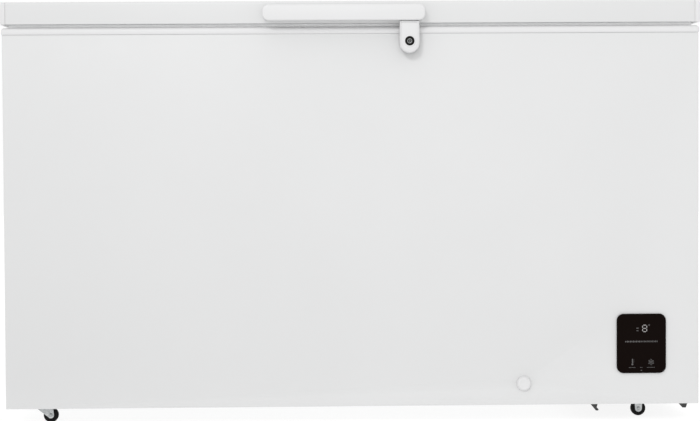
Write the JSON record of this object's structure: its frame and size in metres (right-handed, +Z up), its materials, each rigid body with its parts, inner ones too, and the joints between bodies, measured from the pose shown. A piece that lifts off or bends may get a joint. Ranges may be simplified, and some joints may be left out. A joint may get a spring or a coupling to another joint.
{
  "type": "chest freezer",
  "caption": "Wide white chest freezer on small casters, with a hinged locking lid, front grip, hanging basket, drain and black control panel.",
  "frame": {"origin": "on the floor under the middle of the freezer's bounding box", "axes": "+X to the right along the freezer's length seen from the front, +Y to the back, +Z up"},
  "size_m": [1.41, 0.71, 0.85],
  "materials": {
    "white_paint": "smooth white powder coat, semi-gloss",
    "white_plastic": "moulded white plastic, satin",
    "liner": "white stucco-embossed sheet",
    "foam": "rigid polyurethane foam, matt",
    "gasket": "soft pale grey seal",
    "panel_black": "high-gloss black",
    "black_plastic": "satin black plastic",
    "grey_plastic": "satin grey plastic",
    "circuit_board": "green solder mask",
    "zinc": "zinc-plated sheet steel",
    "dark_steel": "black enamel on steel",
    "copper": "drawn copper tube",
    "rubber": "black rubber",
    "wheel_black": "hard black tread",
    "basket_wire": "white plastic-coated wire"
  },
  "bodies": {
    "cabinet": {"cabinet_shell": "white_paint", "rear_panel": "white_paint", "top_frame": "white_plastic", "side_grille": "white_plastic", "inner_liner": "liner", "insulation_foam": "foam", "control_panel": "panel_black", "cord_gland": "black_plastic", "control_housing": "black_plastic", "relay_box": "black_plastic", "drain_tube": "grey_plastic", "control_board": "circuit_board", "bottom_panel": "zinc", "compressor_bulkhead": "zinc", "lock_keeper": "zinc", "hinge_base_left": "zinc", "hinge_pin_left": "zinc", "hinge_base_right": "zinc", "hinge_pin_right": "zinc", "caster_plate_front_left": "zinc", "caster_plate_rear_left": "zinc", "caster_fork_front_right": "zinc", "caster_fork_rear_right": "zinc", "caster_axle_front_right": "zinc", "caster_axle_rear_right": "zinc", "compressor_base_plate": "dark_steel", "compressor_housing": "dark_steel", "condenser_tube": "dark_steel", "hinge_spring_left": "dark_steel", "hinge_spring_right": "dark_steel", "suction_line": "copper", "discharge_line": "copper", "filter_drier": "copper", "evaporator_tube": "copper", "compressor_mount_front_left": "rubber", "compressor_mount_front_right": "rubber", "compressor_mount_rear_left": "rubber", "compressor_mount_rear_right": "rubber"},
    "lid": {"lid_skin": "white_paint", "lid_foam": "foam", "lid_liner": "liner", "lid_cap_left": "white_plastic", "lid_cap_right": "white_plastic", "lid_gasket": "gasket", "handle": "white_plastic", "lock_tab": "white_plastic", "hinge_arm_left": "zinc", "hinge_arm_right": "zinc"},
    "lock": {"lock_cylinder": "black_plastic"},
    "swivel_front_left": {"caster_fork_front_left": "zinc", "caster_axle_front_left": "zinc"},
    "swivel_rear_left": {"caster_fork_rear_left": "zinc", "caster_axle_rear_left": "zinc"},
    "wheel_front_left": {"caster_wheel_front_left": "wheel_black"},
    "wheel_front_right": {"caster_wheel_front_right": "wheel_black"},
    "wheel_rear_left": {"caster_wheel_rear_left": "wheel_black"},
    "wheel_rear_right": {"caster_wheel_rear_right": "wheel_black"},
    "drain_cap": {"drain_cap": "white_plastic"},
    "drain_stopper": {"drain_stopper": "grey_plastic"},
    "basket": {"basket": "basket_wire"}
  },
  "joints": [
    {"name": "lid_hinge", "type": "hinge", "parent": "cabinet", "child": "lid", "pos_m": [0, 0.34, 0.8065], "axis": [-1, 0, 0], "range_deg": [0, 85], "stiffness_Nm_per_rad": 12, "springref_deg": 137.51},
    {"name": "lock_turn", "type": "hinge", "parent": "lid", "child": "lock", "pos_m": [0.116, -0.34, 0.768], "axis": [0, -1, 0], "range_deg": [0, 90]},
    {"name": "basket_slide", "type": "slide", "parent": "cabinet", "child": "basket", "axis": [-1, 0, 0], "range_m": [0, 1]},
    {"name": "drain_cap_pull", "type": "slide", "parent": "cabinet", "child": "drain_cap", "axis": [0, -1, 0], "range_m": [0, 0.02]},
    {"name": "drain_stopper_lift", "type": "slide", "parent": "cabinet", "child": "drain_stopper", "axis": [0, 0, 1], "range_m": [0, 0.03]},
    {"name": "swivel_front_left_turn", "type": "hinge", "parent": "cabinet", "child": "swivel_front_left", "pos_m": [-0.6285, -0.283, 0.04], "axis": [0, 0, 1], "continuous": true},
    {"name": "wheel_front_left_spin", "type": "hinge", "parent": "swivel_front_left", "child": "wheel_front_left", "pos_m": [-0.615, -0.283, 0.015], "axis": [0, 1, 0], "continuous": true},
    {"name": "swivel_rear_left_turn", "type": "hinge", "parent": "cabinet", "child": "swivel_rear_left", "pos_m": [-0.6285, 0.283, 0.04], "axis": [0, 0, 1], "continuous": true},
    {"name": "wheel_rear_left_spin", "type": "hinge", "parent": "swivel_rear_left", "child": "wheel_rear_left", "pos_m": [-0.615, 0.283, 0.015], "axis": [0, 1, 0], "continuous": true},
    {"name": "wheel_front_right_spin", "type": "hinge", "parent": "cabinet", "child": "wheel_front_right", "pos_m": [0.588, -0.259, 0.015], "axis": [0, 1, 0], "continuous": true},
    {"name": "wheel_rear_right_spin", "type": "hinge", "parent": "cabinet", "child": "wheel_rear_right", "pos_m": [0.588, 0.259, 0.015], "axis": [0, 1, 0], "continuous": true}
  ]
}
